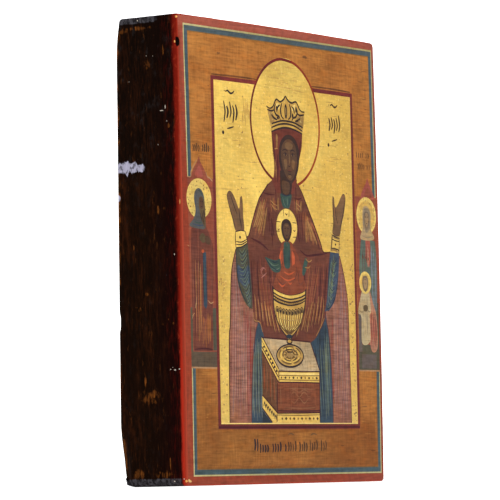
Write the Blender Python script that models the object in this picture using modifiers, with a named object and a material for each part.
# Icon panel: one solid wooden board, painted on its front, standing on its bottom edge.
# Metres, +Z up. The painted front faces -Y and the bare back faces +Y.
# Origin: on the ground, at the middle of the board's bounding box.

import bmesh
import bpy

# Driving dimensions of the board
board_height = 0.178
board_width = 0.1434
bottom_thickness = 0.0305   # at the bottom edge, from the front's edges to the back
top_thickness = 0.0283      # the back was planed thinner towards the top

# The old board has warped: its front stands proud in the middle
cross_bulge = 0.0012        # across the width
long_bulge = 0.0005         # along the height
end_droop = 0.0001          # the top and bottom edges sink this much towards the corners

# Worn arrises, as the width of each rounded edge
front_edge = 0.0010         # all round the painted front
end_edge = 0.0018           # where the side edges meet the top and bottom edges
back_edge = 0.0026          # all round the back
edge_segments = 3

# The back thins out a little more where it meets the top and bottom edges
runout_length = 0.016
runout_depth = 0.0016

# Size of the facets that follow the bulge
facets_across = 12
facets_along = 14

# What is worked out from those: the board is thickest where the back's lower run-out starts
thickness_slope = (top_thickness - bottom_thickness) / board_height
total_bulge = cross_bulge + long_bulge
board_depth = bottom_thickness + thickness_slope * runout_length + total_bulge
front_rim_y = -board_depth / 2 + total_bulge

painted_wood_color = (0.33, 0.10, 0.045, 1.0)
bare_wood_color = (0.045, 0.026, 0.016, 1.0)


def clear_scene():
    for obj in list(bpy.data.objects):
        bpy.data.objects.remove(obj, do_unlink=True)


def make_collection(name):
    collection = bpy.data.collections.new(name)
    bpy.context.scene.collection.children.link(collection)
    return collection


def make_material(name, color, roughness, metallic):
    material = bpy.data.materials.new(name)
    material.use_nodes = True
    shader = material.node_tree.nodes["Principled BSDF"]
    shader.inputs["Base Color"].default_value = color
    shader.inputs["Roughness"].default_value = roughness
    shader.inputs["Metallic"].default_value = metallic
    material.diffuse_color = color
    return material


# Where the front face stands at a place on the board: its bulge is a parabola each way
def front_y(x, z):
    across = 2 * x / board_width
    along = 2 * z / board_height - 1
    return front_rim_y - cross_bulge * (1 - across ** 2) - long_bulge * (1 - along ** 2)


# The back is one sloping plane, eased off near the top and the bottom
def back_y(z):
    plane = front_rim_y + bottom_thickness + thickness_slope * z
    to_end = min(z, board_height - z)
    runout = max(0.0, 1 - to_end / runout_length)
    return plane - runout_depth * runout ** 2


# The top edge droops towards the corners; the bottom edge stays flat to stand on
def top_z(x):
    return board_height - end_droop * (2 * x / board_width) ** 2


# Levels at which the board's faces are divided, closer together where the back eases off
def z_levels():
    even = [board_height * i / facets_along for i in range(1, facets_along)]
    near_ends = [runout_length / 3, runout_length]
    near_ends += [board_height - level for level in near_ends]
    spacing = board_height / facets_along
    kept = [level for level in even if min(abs(level - end) for end in near_ends) > spacing / 3]
    return sorted(kept + near_ends)


def cut_levels(bm, axis, levels):
    normal = [0.0, 0.0, 0.0]
    normal[axis] = 1.0
    for level in levels:
        point = [0.0, 0.0, 0.0]
        point[axis] = level
        geometry = bm.verts[:] + bm.edges[:] + bm.faces[:]
        bmesh.ops.bisect_plane(bm, geom=geometry, dist=1e-6, plane_co=point, plane_no=normal)


# Which of the board's six sides an edge lies on
def sides_of(edge, half_width, half_depth):
    sides = set()
    tolerance = 1e-5
    ends = [vertex.co for vertex in edge.verts]
    if all(end.y < -half_depth + tolerance for end in ends):
        sides.add("front")
    if all(end.y > half_depth - tolerance for end in ends):
        sides.add("back")
    if all(abs(end.x) > half_width - tolerance for end in ends) and ends[0].x * ends[1].x > 0:
        sides.add("side")
    if all(end.z < tolerance for end in ends):
        sides.add("bottom")
    if all(end.z > board_height - tolerance for end in ends):
        sides.add("top")
    return sides


# The width that an arris has worn to, as a share of the widest one
def arris_weight(sides):
    if len(sides) < 2:
        return 0.0
    if "front" in sides:
        return front_edge / back_edge
    if "back" in sides:
        return 1.0
    return end_edge / back_edge


def make_board(collection):
    half_width = board_width / 2
    half_depth = board_depth / 2
    bm = bmesh.new()
    bmesh.ops.create_cube(bm, size=1.0)
    bmesh.ops.scale(bm, vec=(board_width, board_depth, board_height), verts=bm.verts)
    bmesh.ops.translate(bm, vec=(0, 0, board_height / 2), verts=bm.verts)
    columns = [board_width * (i / facets_across - 0.5) for i in range(1, facets_across)]
    cut_levels(bm, 0, columns)
    cut_levels(bm, 2, z_levels())

    weights = bm.edges.layers.float.new("bevel_weight_edge")
    for edge in bm.edges:
        edge[weights] = arris_weight(sides_of(edge, half_width, half_depth))

    for vertex in bm.verts:
        x, y, z = vertex.co
        vertex.co.y = front_y(x, z) if y < 0 else back_y(z)
        vertex.co.z = z * top_z(x) / board_height

    mesh = bpy.data.meshes.new("board")
    bm.to_mesh(mesh)
    bm.free()
    board = bpy.data.objects.new("board", mesh)
    collection.objects.link(board)

    bevel = board.modifiers.new("worn_arrises", "BEVEL")
    bevel.limit_method = "WEIGHT"
    bevel.width = back_edge
    bevel.segments = edge_segments
    bevel.use_clamp_overlap = False
    return board


# Slot 0 is the bare stained wood and slot 1 the painted front
def dress_board(board):
    board.data.materials.append(make_material("bare_wood", bare_wood_color, 0.6, 0.0))
    board.data.materials.append(make_material("painted_front", painted_wood_color, 0.4, 0.0))
    for polygon in board.data.polygons:
        polygon.material_index = 1 if polygon.normal.y < -0.9 else 0
    board.data.shade_smooth()
    board.data.set_sharp_from_angle(angle=0.6)


def main():
    clear_scene()
    collection = make_collection("icon_panel")
    board = make_board(collection)
    dress_board(board)


main()
